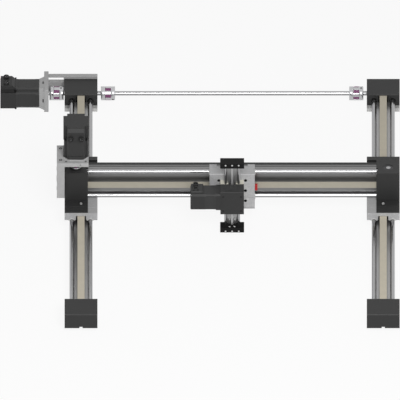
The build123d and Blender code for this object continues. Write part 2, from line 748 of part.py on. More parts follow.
def build_vertical_axis():
    """The cantilever axis on the bridge carriage."""
    m = bridge_axis
    plate_front = bridge_front_offset - m.plate_high - mount_plate_depth
    keep("vertical_mount_plate", mount_plate())
    back = plate_front - z_axis_gap
    middle = z_axis_middle
    guide = Plane(origin=(0, back, middle), x_dir=(1, 0, 0), z_dir=(0, 0, 1))
    base, bars = z_guide()
    keep("vertical_guide_profile", base, guide)
    keep("vertical_guide_rails", Compound(bars), guide)
    keep("vertical_rack", rack(), guide)
    gather("vertical_end_plates", [z_end_plate(1), z_end_plate(-1)], guide)
    keep("vertical_end_plate_screws", Compound(z_plate_screws()), guide)

    rail_y = back - z_plate_depth + z_rail_inset
    block_back = rail_y - z_rail_r - z_block_gap
    block_front = block_back - z_block_depth
    half = z_block_width / 2
    low = middle - z_block_height / 2
    high = middle + z_block_height / 2
    tip_y = back - z_plate_depth + rack_tip_inset
    pinion_y = tip_y - pinion_r + 0.75 * rack_module - 0.25
    pinion_z = middle + pi * rack_module
    housing = block(-half, half, block_front, block_back, low, high)
    housing = chamfer(housing.edges().filter_by(Axis.X), 1.0)
    slot = rack_width * 1.2 + 1
    housing -= rod("x", pinion_r + 2, -slot, slot, (pinion_y, pinion_z))
    housing -= block(-slot, slot, tip_y - 3, block_back + 1, low - 1, high + 1)
    housing -= rod("x", drive_r + 1, -half - 1, half + 1, (pinion_y, pinion_z))
    for start in (-half - 1, half - bearing_width - bearing_recess):
        housing -= rod("x", bearing_r + shaft_fit, start, start + bearing_width + bearing_recess + 1,
                       (pinion_y, pinion_z))
    keep("vertical_drive_housing", housing)
    races = []
    for start in (-half + bearing_recess, half - bearing_recess - bearing_width):
        races.append(ring("x", bearing_r, drive_r + shaft_fit, start, start + bearing_width, (pinion_y, pinion_z)))
    keep("vertical_ball_bearings", Compound(races))
    shaft = rod("x", drive_r, -half - 20, half - 1, (pinion_y, pinion_z))
    keep("vertical_pinion", Pos(0, pinion_y, pinion_z) * pinion() + shaft)

    slider_low = low + 1.5
    slider_high = high - 1.5
    clear = z_rail_pitch / 2 + 1.8 + moving_gap
    lip = 1.8 + moving_gap
    outline = [(half, plate_front), (clear, plate_front), (clear, rail_y + 2.6), (8.6, rail_y + 2.6),
               (8.6, block_back), (half, block_back)]
    sliders = []
    for sign in (-1, 1):
        face = make_face(Polyline(*[(sign * x, y, slider_low) for x, y in outline], close=True))
        body = extrude(face, amount=slider_high - slider_low, dir=(0, 0, 1))
        x = sign * z_rail_pitch / 2
        body -= rod("z", z_rail_r + slide_fit, slider_low - 1, slider_high + 1, (x, rail_y))
        body -= block(x - lip, x + lip, rail_y, rail_y + 6, slider_low - 1, slider_high + 1)
        sliders.append(body)
    keep("vertical_slide_blocks", Compound(sliders))

    drive = Plane(origin=(-half, pinion_y, pinion_z), x_dir=(0, 1, 0), z_dir=(-1, 0, 0))
    width = small_motor[0]
    flange = extrude(octagon(width + 1.5, 3), amount=10) - rod("z", drive_r + 1.5, -1, 11)
    keep("vertical_motor_flange", flange, drive)
    lift = Pos(0, 0, 10)
    keep("vertical_motor_body", lift * (motor_body(small_motor) - rod("z", drive_r + 1, -1, 12)), drive)
    gather("vertical_motor_cap", [lift * motor_cap(small_motor, 180)], drive)
    gather("vertical_motor_cap", [lift * c for c in connectors(small_motor, 180)], drive)

    stop_low = bridge_height - clip_height / 2
    face = bridge_front_offset - m.plate_high
    stop = block(m.carriage_half, m.carriage_half + clip_width, face + clip_inset, face + clip_inset + clip_depth,
                 stop_low, stop_low + clip_height)
    keep("belt_end_clip", fillet(stop.edges().filter_by(Axis.X), 2))
    gather("carriage_screws", [spot * screw(screw_m4, screw_bite) for spot in plate_spots()])


def write_files():
    """Write every node to its file."""
    os.makedirs("parts", exist_ok=True)
    for name, shapes in groups.items():
        parts[name] = Compound(shapes) if len(shapes) > 1 else shapes[0]
    for name, shape in parts.items():
        export_step(shape, f"parts/{name}.step")
    print(len(parts), "nodes")


build_floor_axes()
build_floor_drive()
build_bridge()
build_vertical_axis()
write_files()
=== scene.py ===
import bmesh, bpy, math
import numpy as np
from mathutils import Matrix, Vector


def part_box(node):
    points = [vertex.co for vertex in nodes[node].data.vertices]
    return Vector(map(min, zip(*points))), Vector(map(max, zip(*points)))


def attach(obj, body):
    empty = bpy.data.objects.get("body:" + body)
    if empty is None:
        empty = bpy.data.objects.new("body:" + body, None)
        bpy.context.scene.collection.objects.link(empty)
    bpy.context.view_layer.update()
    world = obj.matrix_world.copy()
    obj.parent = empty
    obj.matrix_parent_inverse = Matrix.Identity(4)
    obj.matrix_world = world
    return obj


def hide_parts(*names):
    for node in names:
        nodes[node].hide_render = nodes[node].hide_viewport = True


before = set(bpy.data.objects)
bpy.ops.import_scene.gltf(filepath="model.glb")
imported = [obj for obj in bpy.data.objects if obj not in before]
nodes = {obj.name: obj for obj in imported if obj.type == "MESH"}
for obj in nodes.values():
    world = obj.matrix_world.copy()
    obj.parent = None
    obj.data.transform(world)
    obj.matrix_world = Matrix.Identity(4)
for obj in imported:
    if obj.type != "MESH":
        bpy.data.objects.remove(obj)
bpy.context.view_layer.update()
mm = 0.001
print("frame loaded:", len(nodes), "nodes")


class Wire:
    # one socket of a node tree; + - * / and > < add Math nodes
    def __init__(self, shader, socket):
        self.shader, self.socket = shader, socket

    def combine(self, operation, a, b=0.0):
        return self.shader.add("ShaderNodeMath", {"operation": operation}, [a, b])

    def __add__(self, other):
        return self.combine("ADD", self, other)

    def __radd__(self, other):
        return self.combine("ADD", other, self)

    def __sub__(self, other):
        return self.combine("SUBTRACT", self, other)

    def __rsub__(self, other):
        return self.combine("SUBTRACT", other, self)

    def __mul__(self, other):
        return self.combine("MULTIPLY", self, other)

    def __rmul__(self, other):
        return self.combine("MULTIPLY", other, self)

    def __truediv__(self, other):
        return self.combine("DIVIDE", self, other)

    def __gt__(self, other):
        return self.combine("GREATER_THAN", self, other)

    def __lt__(self, other):
        return self.combine("LESS_THAN", self, other)

    def clamp(self):
        return self.shader.add("ShaderNodeClamp", {}, [self, 0.0, 1.0])

    def wrap(self, step):
        return self.combine("PINGPONG", self, step)

    def absolute(self):
        return self.combine("ABSOLUTE", self)


class Shader:
    # a node tree being built; add() makes any node from its settings and inputs
    def __init__(self, tree):
        self.tree = tree

    def add(self, kind, settings, inputs, output=0):
        node = self.tree.nodes.new(kind)
        for key, value in settings.items():
            setattr(node, key, value)
        for key, value in (inputs.items() if isinstance(inputs, dict) else enumerate(inputs)):
            self.feed(node.inputs[key], value)
        return Wire(self, node.outputs[output])

    def feed(self, target, value):
        if isinstance(value, Wire):
            self.tree.links.new(value.socket, target)
        elif isinstance(value, (tuple, list)) and len(value) == 3 and target.type == "RGBA":
            target.default_value = (*value, 1)
        else:
            target.default_value = value


class Finish(Shader):
    # a material that reads the piece's own coordinates
    def __init__(self, name):
        self.material = bpy.data.materials.new(name)
        self.material.use_nodes = True
        super().__init__(self.material.node_tree)
        self.surface = self.tree.nodes["Principled BSDF"]
        self.place = self.add("ShaderNodeTexCoord", {}, [], output="Object")

    def stretch(self, scale):
        return self.add("ShaderNodeMapping", {}, {"Vector": self.place, "Scale": scale})

    def noise(self, scale, detail=2.0, where=None, rough=0.5):
        inputs = {"Vector": where or self.place, "Scale": scale, "Detail": detail, "Roughness": rough}
        return self.add("ShaderNodeTexNoise", {}, inputs)

    def axis(self, name):
        return self.add("ShaderNodeSeparateXYZ", {}, [self.place], output=name)

    def mix(self, factor, first, second):
        return self.add("ShaderNodeMix", {"data_type": "RGBA"}, {0: factor, 6: first, 7: second}, output=2)

    def tint(self, factor, tone, spread):
        # between a tone's darker and lighter shade
        return self.mix(factor.clamp(), shade(tone, spread[0]), shade(tone, spread[1]))

    def bump(self, height, strength, distance):
        inputs = {"Height": height, "Strength": strength, "Distance": distance}
        return self.add("ShaderNodeBump", {}, inputs)

    def edges(self, radius, gain):
        # 1 along worn edges: the bevelled normal leaves the true one there
        worn = self.add("ShaderNodeBevel", {"samples": 4}, {"Radius": radius})
        true = self.add("ShaderNodeNewGeometry", {}, [], output="Normal")
        match = self.add("ShaderNodeVectorMath", {"operation": "DOT_PRODUCT"}, [worn, true], output="Value")
        return ((1 - match).clamp() * gain).clamp()

    def set(self, **sockets):
        for name, value in sockets.items():
            self.feed(self.surface.inputs[name.replace("_", " ")], value)
        return self.material


def shade(tone, factor):
    return tuple(min(1.0, channel * factor) for channel in tone)


# extruded and milled aluminium; streak is how often the strokes repeat in a metre along X, Y and Z
metals = {
    "floorProfile": {"tone": (0.40, 0.40, 0.40), "rough": 0.36, "metal": 0.85, "speckle": 0.05,
                     "streak": (900, 14, 900)},
    "beamProfile": {"tone": (0.23, 0.23, 0.23), "rough": 0.36, "metal": 0.85, "speckle": 0.03,
                    "streak": (14, 900, 900)},
    "guideProfile": {"tone": (0.36, 0.36, 0.36), "rough": 0.34, "metal": 0.85, "speckle": 0.03,
                     "streak": (900, 900, 14)},
    "bracket": {"tone": (0.50, 0.50, 0.50), "rough": 0.55, "metal": 0.1, "speckle": 0.12,
                "streak": (60, 700, 60)},
    "carriagePlate": {"tone": (0.50, 0.50, 0.505), "rough": 0.55, "metal": 0.1, "speckle": 0.34,
                      "streak": (260, 260, 260)},
    "footBlock": {"tone": (0.62, 0.62, 0.61), "rough": 0.5, "metal": 0.3, "speckle": 0.3,
                  "streak": (260, 260, 260)},
}
# what the finishes of one kind share, here and below: noise scales are repeats in a metre, the edge
# and the bump's depth are in metres, and spread gives a tone's darker and lighter shade
machining = {
    "cloud": 9.0, "speckle": 430.0, "speckleRough": 0.75, "speckleGain": 6.0, "spread": (0.8, 1.2),
    "edge": 0.0007, "edgeGain": 3.0, "edgeShare": 0.4, "edgeLight": 2.0,
    "smoother": 0.08, "roughSpan": 0.16, "bump": 0.25, "bumpDepth": 0.00004,
}
# the beam's black parts, in metres: where it is farther than side from its middle height, all behind from,
# and also a slot between two depths whose black is painted shade on the groove's floor
beamStripe = {"from": 0.0092, "slot": (0.0026, 0.0059), "side": 0.030, "middle": 0.0825,
              "tone": (0.035, 0.035, 0.035)}


def blackBandsAndGrooveShade(finish):
    # 1 on the beam's top and bottom where they are drawn black: all behind from, and the slot, where the
    # black is painted groove shade
    side = (finish.axis("Z") - beamStripe["middle"]).absolute() > beamStripe["side"]
    depth = finish.axis("Y")
    near, far = beamStripe["slot"]
    slot = (depth > near) * (depth < far)
    return side * ((depth > beamStripe["from"]) + slot).clamp()


def machined(name, look):
    # metal with long machining strokes, a blasted speckle and bright worn edges
    finish, tone = Finish(name), look["tone"]
    strokes = finish.noise(1.0, 3.0, finish.stretch(look["streak"]))
    cloud = finish.noise(machining["cloud"], 3.0)
    speckle = finish.noise(machining["speckle"], 2.0, rough=machining["speckleRough"])
    contrast = look["speckle"] * machining["speckleGain"]
    grain = 0.5 * strokes + 0.5 * cloud + (speckle - 0.5) * contrast
    colour = finish.tint(grain, tone, machining["spread"])
    # black bands on the beam; the slot's part is painted shade of the groove
    if name == "beamProfile":
        colour = finish.mix(blackBandsAndGrooveShade(finish), colour, beamStripe["tone"])
    worn = finish.edges(machining["edge"], machining["edgeGain"]) * (0.5 + 0.5 * cloud)
    colour = finish.mix(worn * machining["edgeShare"], colour, shade(tone, machining["edgeLight"]))
    rough = look["rough"] - machining["smoother"] + machining["roughSpan"] * strokes
    return finish.set(Base_Color=colour, Metallic=look["metal"], Roughness=rough,
                      Normal=finish.bump(strokes, machining["bump"], machining["bumpDepth"]))


# black dyed aluminium and steel
blacks = {
    "block": {"tone": (0.030, 0.030, 0.030), "rough": 0.5, "sheen": 0.3},
    "endPlate": {"tone": (0.010, 0.010, 0.010), "rough": 0.6, "sheen": 0.1},
    "blackScrew": {"tone": (0.006, 0.006, 0.006), "rough": 0.55, "sheen": 0.12},
}
dyeing = {
    "grain": 2600.0, "cloud": 14.0, "grainShare": 0.35, "cloudShare": 0.65, "spread": (0.85, 1.15),
    "edge": 0.0008, "edgeGain": 3.0, "edgeShare": 0.25, "edgeLight": 3.0,
    "smoother": 0.06, "roughSpan": 0.14, "bump": 0.3, "bumpDepth": 0.00003,
}


def anodised(name, look):
    # fine even grain of a blasted and dyed surface, lighter along the edges
    finish, tone = Finish(name), look["tone"]
    grain = finish.noise(dyeing["grain"], 2.0)
    cloud = finish.noise(dyeing["cloud"], 3.0)
    mottle = dyeing["grainShare"] * grain + dyeing["cloudShare"] * cloud
    colour = finish.tint(mottle, tone, dyeing["spread"])
    worn = finish.edges(dyeing["edge"], dyeing["edgeGain"])
    colour = finish.mix(worn * dyeing["edgeShare"], colour, shade(tone, dyeing["edgeLight"]))
    rough = look["rough"] - dyeing["smoother"] + dyeing["roughSpan"] * cloud
    return finish.set(Base_Color=colour, Specular_IOR_Level=look["sheen"], Roughness=rough,
                      Normal=finish.bump(grain, dyeing["bump"], dyeing["bumpDepth"]))


# ground and turned steel; grind is the scatter's scale and bump its strength
steels = {
    "rail": {"tone": (0.36, 0.36, 0.365), "rough": 0.12, "grind": 1400, "bump": 0.004},
    "fastener": {"tone": (0.62, 0.62, 0.62), "rough": 0.3, "grind": 1500, "bump": 0.03},
    "bearing": {"tone": (0.42, 0.42, 0.43), "rough": 0.25, "grind": 1800, "bump": 0.03},
    "gear": {"tone": (0.36, 0.36, 0.365), "rough": 0.36, "grind": 1100, "bump": 0.03},
    "rackSteel": {"tone": (0.62, 0.62, 0.62), "rough": 0.34, "grind": 1100, "bump": 0.03},
    "hub": {"tone": (0.50, 0.50, 0.51), "rough": 0.26, "grind": 1300, "bump": 0.03},
}
grinding = {
    "marks": 40.0, "marksRough": 0.7, "spread": (0.88, 1.1), "metal": 0.95,
    "smoother": 0.005, "roughSpan": 0.01, "bumpDepth": 0.00001,
}


def polished(name, look):
    # ground or turned metal: very fine scatter and faint handling marks
    finish = Finish(name)
    fine = finish.noise(look["grind"], 2.0)
    marks = finish.noise(grinding["marks"], 4.0, rough=grinding["marksRough"])
    colour = finish.tint(0.5 * fine + 0.5 * marks, look["tone"], grinding["spread"])
    rough = look["rough"] - grinding["smoother"] + grinding["roughSpan"] * marks
    return finish.set(Base_Color=colour, Metallic=grinding["metal"], Roughness=rough,
                      Normal=finish.bump(fine, look["bump"], grinding["bumpDepth"]))


# one belt cloth in two tones: the floor belts' lighter and the beam belt's darker tone are painted light and
# shade
beltTones = {"floorBelt": (0.64, 0.59, 0.48), "bridgeBelt": (0.45, 0.42, 0.345)}
weaving = {
    "warp": 1300.0, "weft": 1300.0, "dust": 60.0, "threadShare": 0.6, "dustShare": 0.4, "spread": (0.8, 1.2),
    "rough": 0.72, "dustRough": 0.1, "bump": 0.5, "bumpDepth": 0.00012,
}


def beltCloth(name, tone):
    # tightly woven belt back: crossed threads with a little dust in between
    finish = Finish(name)
    x, y, z = finish.axis("X"), finish.axis("Y"), finish.axis("Z")
    thread = (x * weaving["warp"]).wrap(1.0) * 0.5 + ((y + z) * weaving["weft"]).wrap(1.0) * 0.5
    dust = finish.noise(weaving["dust"], 4.0)
    cloth = weaving["threadShare"] * thread + weaving["dustShare"] * dust
    return finish.set(Base_Color=finish.tint(cloth, tone, weaving["spread"]),
                      Roughness=weaving["rough"] + weaving["dustRough"] * dust,
                      Normal=finish.bump(thread, weaving["bump"], weaving["bumpDepth"]))


rubbers = {
    "couplingStar": {"tone": (0.22, 0.06, 0.17), "mottle": 220.0, "spread": (0.75, 1.3), "rough": 0.45,
                     "mottleRough": 0.12, "bump": 0.2, "bumpDepth": 0.0001},
}


def rubber(name, look):
    # soft moulded rubber, faintly mottled
    finish = Finish(name)
    mottle = finish.noise(look["mottle"], 3.0)
    return finish.set(Base_Color=finish.tint(mottle, look["tone"], look["spread"]),
                      Roughness=look["rough"] + look["mottleRough"] * mottle,
                      Normal=finish.bump(mottle, look["bump"], look["bumpDepth"]))


stackAxes = {"stackX": "X", "stackZ": "Z"}  # the motor's axis, which its sheets lie across
stacking = {
    "tone": (0.034, 0.034, 0.034), "sheet": 0.0005, "cloud": 30.0, "spread": (0.75, 1.3), "sheen": 0.35,
    "rough": 0.5, "cloudRough": 0.1, "bump": 0.35, "bumpDepth": 0.0001,
}


def laminated(name, axis):
    # the stator stack: sheet edges show as very fine rings across the motor's axis
    finish = Finish(name)
    sheet = (finish.axis(axis) / stacking["sheet"]).wrap(1.0)
    cloud = finish.noise(stacking["cloud"], 3.0)
    colour = finish.tint(0.5 * sheet + 0.5 * cloud, stacking["tone"], stacking["spread"])
    return finish.set(Base_Color=colour, Specular_IOR_Level=stacking["sheen"],
                      Roughness=stacking["rough"] + stacking["cloudRough"] * cloud,
                      Normal=finish.bump(sheet, stacking["bump"], stacking["bumpDepth"]))


plastics = {
    "socket": {"tone": (0.007, 0.007, 0.007), "rough": 0.6},
    "shell": {"tone": (0.03, 0.03, 0.032), "rough": 0.42},
    "ivory": {"tone": (0.72, 0.70, 0.60), "rough": 0.4},
    "clip": {"tone": (0.50, 0.012, 0.012), "rough": 0.4},
}
moulding = {
    "grain": 1500.0, "cloud": 25.0, "grainShare": 0.4, "cloudShare": 0.6, "spread": (0.85, 1.15),
    "grainRough": 0.08, "bump": 0.3, "bumpDepth": 0.00005,
}


def moulded(name, look):
    # injection moulded plastic: a fine spark-eroded grain and slight clouding
    finish = Finish(name)
    grain = finish.noise(moulding["grain"], 2.0)
    cloud = finish.noise(moulding["cloud"], 2.0)
    mottle = moulding["grainShare"] * grain + moulding["cloudShare"] * cloud
    return finish.set(Base_Color=finish.tint(mottle, look["tone"], moulding["spread"]),
                      Roughness=look["rough"] + moulding["grainRough"] * grain,
                      Normal=finish.bump(grain, moulding["bump"], moulding["bumpDepth"]))


recipes = [(machined, metals), (anodised, blacks), (polished, steels), (beltCloth, beltTones),
           (rubber, rubbers), (laminated, stackAxes), (moulded, plastics)]
made = {name: recipe(name, look) for recipe, looks in recipes for name, look in looks.items()}
print("materials made:", len(made))

# which finish each node wears; the others wear the black block's
wear = {
    "floorProfile": ["floor_axis_left_profile", "floor_axis_right_profile"],
    "beamProfile": ["bridge_profile"],
    "guideProfile": ["vertical_guide_profile"],
    "bracket": ["floor_motor_bracket", "floor_motor_adapter", "bridge_motor_bracket",
                "bridge_motor_adapter"],
    "carriagePlate": ["floor_carriage_left", "floor_carriage_right", "bridge_carriage",
                      "vertical_mount_plate"],
    "footBlock": ["foot_clamps"],
    "rail": ["floor_rails", "bridge_rails", "vertical_guide_rails", "sync_shaft"],
    "floorBelt": ["floor_belts"],
    "bridgeBelt": ["bridge_belt"],
    "bearing": ["floor_ball_bearings", "vertical_ball_bearings"],
    "fastener": ["vertical_end_plate_screws"],
    "blackScrew": ["floor_screws", "bridge_bracket_screws", "carriage_screws"],
    "gear": ["drive_pulleys", "idler_pulleys", "bridge_drive_pulley", "bridge_idler_pulley",
             "vertical_pinion"],
    "rackSteel": ["vertical_rack"],
    "hub": ["floor_coupling_hubs", "bridge_coupling_hubs"],
    "couplingStar": ["floor_coupling_stars", "bridge_coupling_star"],
    "stackX": ["floor_motor_body", "vertical_motor_body"],
    "stackZ": ["bridge_motor_body"],
    "socket": ["floor_motor_connectors", "bridge_motor_connectors"],
    "shell": ["floor_slide_bearings", "bridge_slide_bearings", "bridge_ball_bearings"],
    "ivory": ["vertical_slide_blocks"],
    "endPlate": ["vertical_end_plates", "floor_belt_clamps", "bridge_belt_clamps"],
    "clip": ["belt_end_clip"],
}
finishOf = {name: key for key, names in wear.items() for name in names}
for name, node in nodes.items():
    node.data.materials.clear()
    node.data.materials.append(made[finishOf.get(name, "block")])
print("nodes dressed")


def corners(node):
    return np.array([list(corner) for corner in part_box(node)])


def localAxes(origin, u, w):
    # three directions at a right angle: u, v and w, with v = w x u
    return {"origin": np.array(origin), "basis": np.array([u, np.cross(w, u), w], float)}


def placed(axes, point):
    # millimetres along u, v and w to metres in the part's frame
    return axes["origin"] + np.array(point, float) @ axes["basis"] * mm


def spotsOn(axes, points, way):
    # each point with the direction that a piece on it faces
    return [(tuple(placed(axes, point)), tuple(np.array(way, float) @ axes["basis"])) for point in points]


def reachAlong(axes, node):
    # nearest and farthest end of a node along w, in millimetres
    ends = (corners(node) - axes["origin"]) @ axes["basis"][2] / mm
    return ends.min(), ends.max()


def added(name, mesh, finish, body, edge=0.0):
    # the mesh as a piece of the scene; edge is the width of its small bevel in millimetres
    piece = bpy.data.objects.new(name, mesh)
    bpy.context.scene.collection.objects.link(piece)
    mesh.materials.append(made[finish])
    if edge:
        bevel = piece.modifiers.new("edge", "BEVEL")
        bevel.width, bevel.segments, bevel.limit_method = edge * mm, 2, "ANGLE"
    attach(piece, body)
    return piece


def faceOutward(mesh, weld=0.0):
    # points nearer than weld are merged first, which closes poles and seams
    shape = bmesh.new()
    shape.from_mesh(mesh)
    if weld:
        bmesh.ops.remove_doubles(shape, verts=shape.verts, dist=weld)
    bmesh.ops.recalc_face_normals(shape, faces=shape.faces)
    shape.to_mesh(mesh)
    shape.free()


seam = 0.001 * mm  # points of a turned piece that are nearer to each other than this become one


def quadMesh(name, points, quads):
    # an array of points and an array of four-sided faces into a mesh with its seams closed
    mesh = bpy.data.meshes.new(name)
    mesh.vertices.add(len(points))
    mesh.vertices.foreach_set("co", points.astype(np.float32).ravel())
    mesh.loops.add(quads.size)
    mesh.loops.foreach_set("vertex_index", quads.astype(np.int32).ravel())
    mesh.polygons.add(len(quads))
    mesh.polygons.foreach_set("loop_start", np.arange(0, quads.size, 4, dtype=np.int32))
    mesh.update(calc_edges=True)
    faceOutward(mesh, seam)
    return mesh


def turned(name, profile, spots, sides, finish, body):
    # profile rows are (radius, height, hexness) in millimetres, and a point is
    # spot + radius * (cos a * u + sin a * v) + height * w; where hexness is 1 the radius is
    # divided by cos(a mod 60 deg - 30 deg), which makes a hexagon
    rows = np.array(profile, float) * (mm, mm, 1)
    angle = np.linspace(0, 2 * np.pi, sides, endpoint=False)
    flat = 1 / np.cos(np.mod(angle, np.pi / 3) - np.pi / 6)
    reach = rows[:, None, 0] * (1 + rows[:, None, 2] * (flat[None] - 1))
    heights = np.repeat(rows[:, 1:2], sides, 1)
    ring = np.stack([reach * np.cos(angle), reach * np.sin(angle), heights], -1)
    at = np.array([spot for spot, _ in spots], float)
    w = np.array([way for _, way in spots], float)
    w /= np.linalg.norm(w, axis=1, keepdims=True)
    # helper is the Y axis where w lies along X, and otherwise X; u stands at a right angle to both
    helper = np.where(np.abs(w[:, :1]) > 0.9, [[0.0, 1.0, 0.0]], [[1.0, 0.0, 0.0]])
    u = np.cross(helper, w)
    u /= np.linalg.norm(u, axis=1, keepdims=True)
    basis = np.stack([u, np.cross(w, u), w], 1)
    points = np.einsum("rsk,nkc->nrsc", ring, basis) + at[:, None, None, :]
    count, here = len(rows), np.arange(sides)
    first = (np.arange(len(spots))[:, None, None] * count + np.arange(count - 1)[None, :, None]) * sides
    after = (here + 1) % sides
    quads = np.stack([first + here, first + after, first + sides + after, first + sides + here], -1)
    mesh = quadMesh(name, points.reshape(-1, 3), quads.reshape(-1, 4))
    return added(name, mesh, finish, body)


def carried(name, runs, axes, finish, body, edge):
    # each run is a flat outline carried along the third direction, from start to end:
    # origin + a * first + b * second + h * third; both ends are closed
    order = {"uv": (0, 1, 2), "vw": (1, 2, 0), "uw": (0, 2, 1)}
    points, faces, count = [], [], 0
    for plane, outline, start, end in runs:
        flat = np.array(outline, float)
        size = len(flat)
        first, second, third = order[plane]
        prism = np.zeros((2, size, 3))
        prism[:, :, first], prism[:, :, second] = flat[:, 0], flat[:, 1]
        prism[:, :, third] = np.array([[start], [end]])
        points.append(prism.reshape(-1, 3))
        here = np.arange(size) + count
        after = np.roll(here, -1)
        faces += np.stack([here, after, after + size, here + size], -1).tolist()
        faces += [here[::-1].tolist(), (here + size).tolist()]
        count += 2 * size
    mesh = bpy.data.meshes.new(name)
    mesh.from_pydata(placed(axes, np.concatenate(points)).tolist(), [], faces)
    faceOutward(mesh)
    return added(name, mesh, finish, body, edge)


def rectangle(a0, a1, b0, b1):
    # four corners from two ranges
    return [(a0, b0), (a1, b0), (a1, b1), (a0, b1)]


def sector(inner, outer, start, width, centre=(0.0, 0.0), steps=10):
    # a piece of a ring: out along the outer arc, back along the inner one
    angle = np.radians(np.linspace(start, start + width, steps))
    way = np.stack([np.cos(angle), np.sin(angle)], -1)
    return np.concatenate([outer * way, inner * way[::-1]]) + np.array(centre)


# each drive's w runs along its shaft, from the end block to the motor; part is the frame's own axes
floorMotor = corners("floor_motor_body").mean(0)
bridgeMotor = corners("bridge_motor_body").mean(0)
floorFace = corners("floor_end_block_rear_left")[0][0]
bridgeTop = corners("bridge_end_block_left")[1][2]
driveAxes = {
    "floor": localAxes((floorFace, floorMotor[1], floorMotor[2]), (0, 1, 0), (-1, 0, 0)),
    "bridge": localAxes((bridgeMotor[0], bridgeMotor[1], bridgeTop), (-1, 0, 0), (0, 0, 1)),
    "part": localAxes((0, 0, 0), (1, 0, 0), (0, 0, 1)),
}
bodyOf = {"floor": "base", "bridge": "bridge"}  # what a drive's fixed pieces ride

# socket heads in millimetres: radius by size, and the hexagon's radius and depth as shares of it
headScrew = {
    "m5": 4.25, "m4": 3.5, "m3": 2.2, "setScrew": 1.9, "proud": 0.35, "sink": 1.6, "bevel": 0.25,
    "hexagon": 0.52, "deep": 0.55, "sides": 24,
}


def screwHeads(name, radius, spots, finish, body, proud=headScrew["proud"]):
    # turned rows: up the rim, across the face, down the hexagon
    foot, rim = -headScrew["sink"], radius - headScrew["bevel"]
    socket, floor = radius * headScrew["hexagon"], proud - radius * headScrew["deep"]
    rows = [(0, foot, 0), (radius, foot, 0), (radius, proud - headScrew["bevel"], 0), (rim, proud, 0),
            (socket, proud, 1), (socket, floor, 1), (0, floor, 1)]
    return turned(name, rows, spots, headScrew["sides"], finish, body)


# jaw couplings in millimetres and degrees: start is where the first hub begins along the shaft, each
# hub takes hubShare of the length, and screws are clamp screws as (share of the length, turn); a jaw
# sinks jawRoot into its own hub, ends jawTip before the other one and stands jawRise off the star's
# core; a leg is legGap narrower on each side than the room between two jaws
couplings = {
    "jaws": 3, "leg": 28.0, "bore": 5.05, "chamfer": 0.5, "core": 0.46, "edge": 0.2,
    "starGap": 0.2, "starInset": 0.15, "legRoot": 1.0, "legGap": 1.0,
    "jawRoot": 0.5, "jawTip": 0.3, "jawRise": 0.6,
    "shaftRadius": 4.9, "shaftSink": 2.0, "screwRadius": 2.1, "hubSides": 64, "shaftSides": 32,
    "coreTurn": 359.9, "coreSteps": 40,
    "floor": {"radius": 15.7, "length": 31.5, "start": 2.25, "hubShare": 0.3, "turn": -10.0,
              "gap": 36.0, "screws": [(0.18, -84), (0.82, -27)]},
    "sync": {"radius": 15.7, "length": 31.5, "start": 0.0, "hubShare": 0.3, "turn": -10.0,
             "stand": 8.0, "screws": [(0.15, -84), (0.85, -27)]},
    "bridge": {"radius": 13.0, "length": 25.0, "start": 1.2, "hubShare": 0.2, "turn": 30.0,
               "gap": 27.4, "screws": [(0.1, 200), (0.9, 140)]},
}
# the nodes that a drive's own coupling stands for
couplingNodes = {
    "floor": ("floor_coupling_hubs", "floor_coupling_stars"),
    "bridge": ("bridge_coupling_hubs", "bridge_coupling_star"),
}


def couplingAxes(name):
    # beside the left and right end blocks, the hubs stand off the face that looks at the long shaft
    if name in driveAxes:
        return driveAxes[name]
    side = -1 if name == "left" else 1
    block = corners("floor_end_block_rear_" + name)
    face = block[1][0] if name == "left" else block[0][0]
    origin = (face - side * couplings["sync"]["stand"] * mm, floorMotor[1], floorMotor[2])
    return localAxes(origin, (0, 1, 0), (-side, 0, 0))


def hubRows(size):
    # each hub is a ring: bore, chamfered outside, bore again
    radius, cut, bore = size["radius"], couplings["chamfer"], couplings["bore"]
    start, end, hub = size["start"], size["start"] + size["length"], size["length"] * size["hubShare"]
    return [[(bore, low, 0), (radius - cut, low, 0), (radius, low + cut, 0), (radius, high - cut, 0),
             (radius - cut, high, 0), (bore, high, 0), (bore, low, 0)]
            for low, high in ((start, start + hub), (end - hub, end))]


def jawsAndStar(size):
    # ring sectors carried along the shaft: the star's core is all but a full turn, with legs round it
    # and jaws between them that grow from one hub and the other in turn
    radius, leg, core = size["radius"], couplings["leg"], size["radius"] * couplings["core"]
    hub = size["length"] * size["hubShare"]
    low, high = size["start"] + hub, size["start"] + size["length"] - hub
    inside = (low + couplings["starGap"], high - couplings["starGap"])
    wedge = 180 / couplings["jaws"]
    root, tip, gap = couplings["jawRoot"], couplings["jawTip"], couplings["legGap"]
    middleRing = sector(couplings["bore"], core, 0, couplings["coreTurn"], steps=couplings["coreSteps"])
    jaws, star = [], [("uv", middleRing, *inside)]
    for index in range(2 * couplings["jaws"]):
        middle = size["turn"] + index * wedge
        outline = sector(core - couplings["legRoot"], radius - couplings["starInset"],
                         middle - leg / 2 + gap, leg - 2 * gap)
        star.append(("uv", outline, *inside))
        ends = (low - root, high - tip) if index % 2 == 0 else (low + tip, high + root)
        jaws.append(("uv", sector(core + couplings["jawRise"], radius, middle + leg / 2, wedge - leg), *ends))
    return jaws, star


def clampSpots(size, axes):
    # on the hub's rim, at a share of the coupling's length and a turn about its shaft
    spots = []
    for share, turn in size["screws"]:
        way = (-math.cos(math.radians(turn)), math.sin(math.radians(turn)), 0)
        along = size["start"] + share * size["length"]
        spots += spotsOn(axes, [(way[0] * size["radius"], way[1] * size["radius"], along)], way)
    return spots


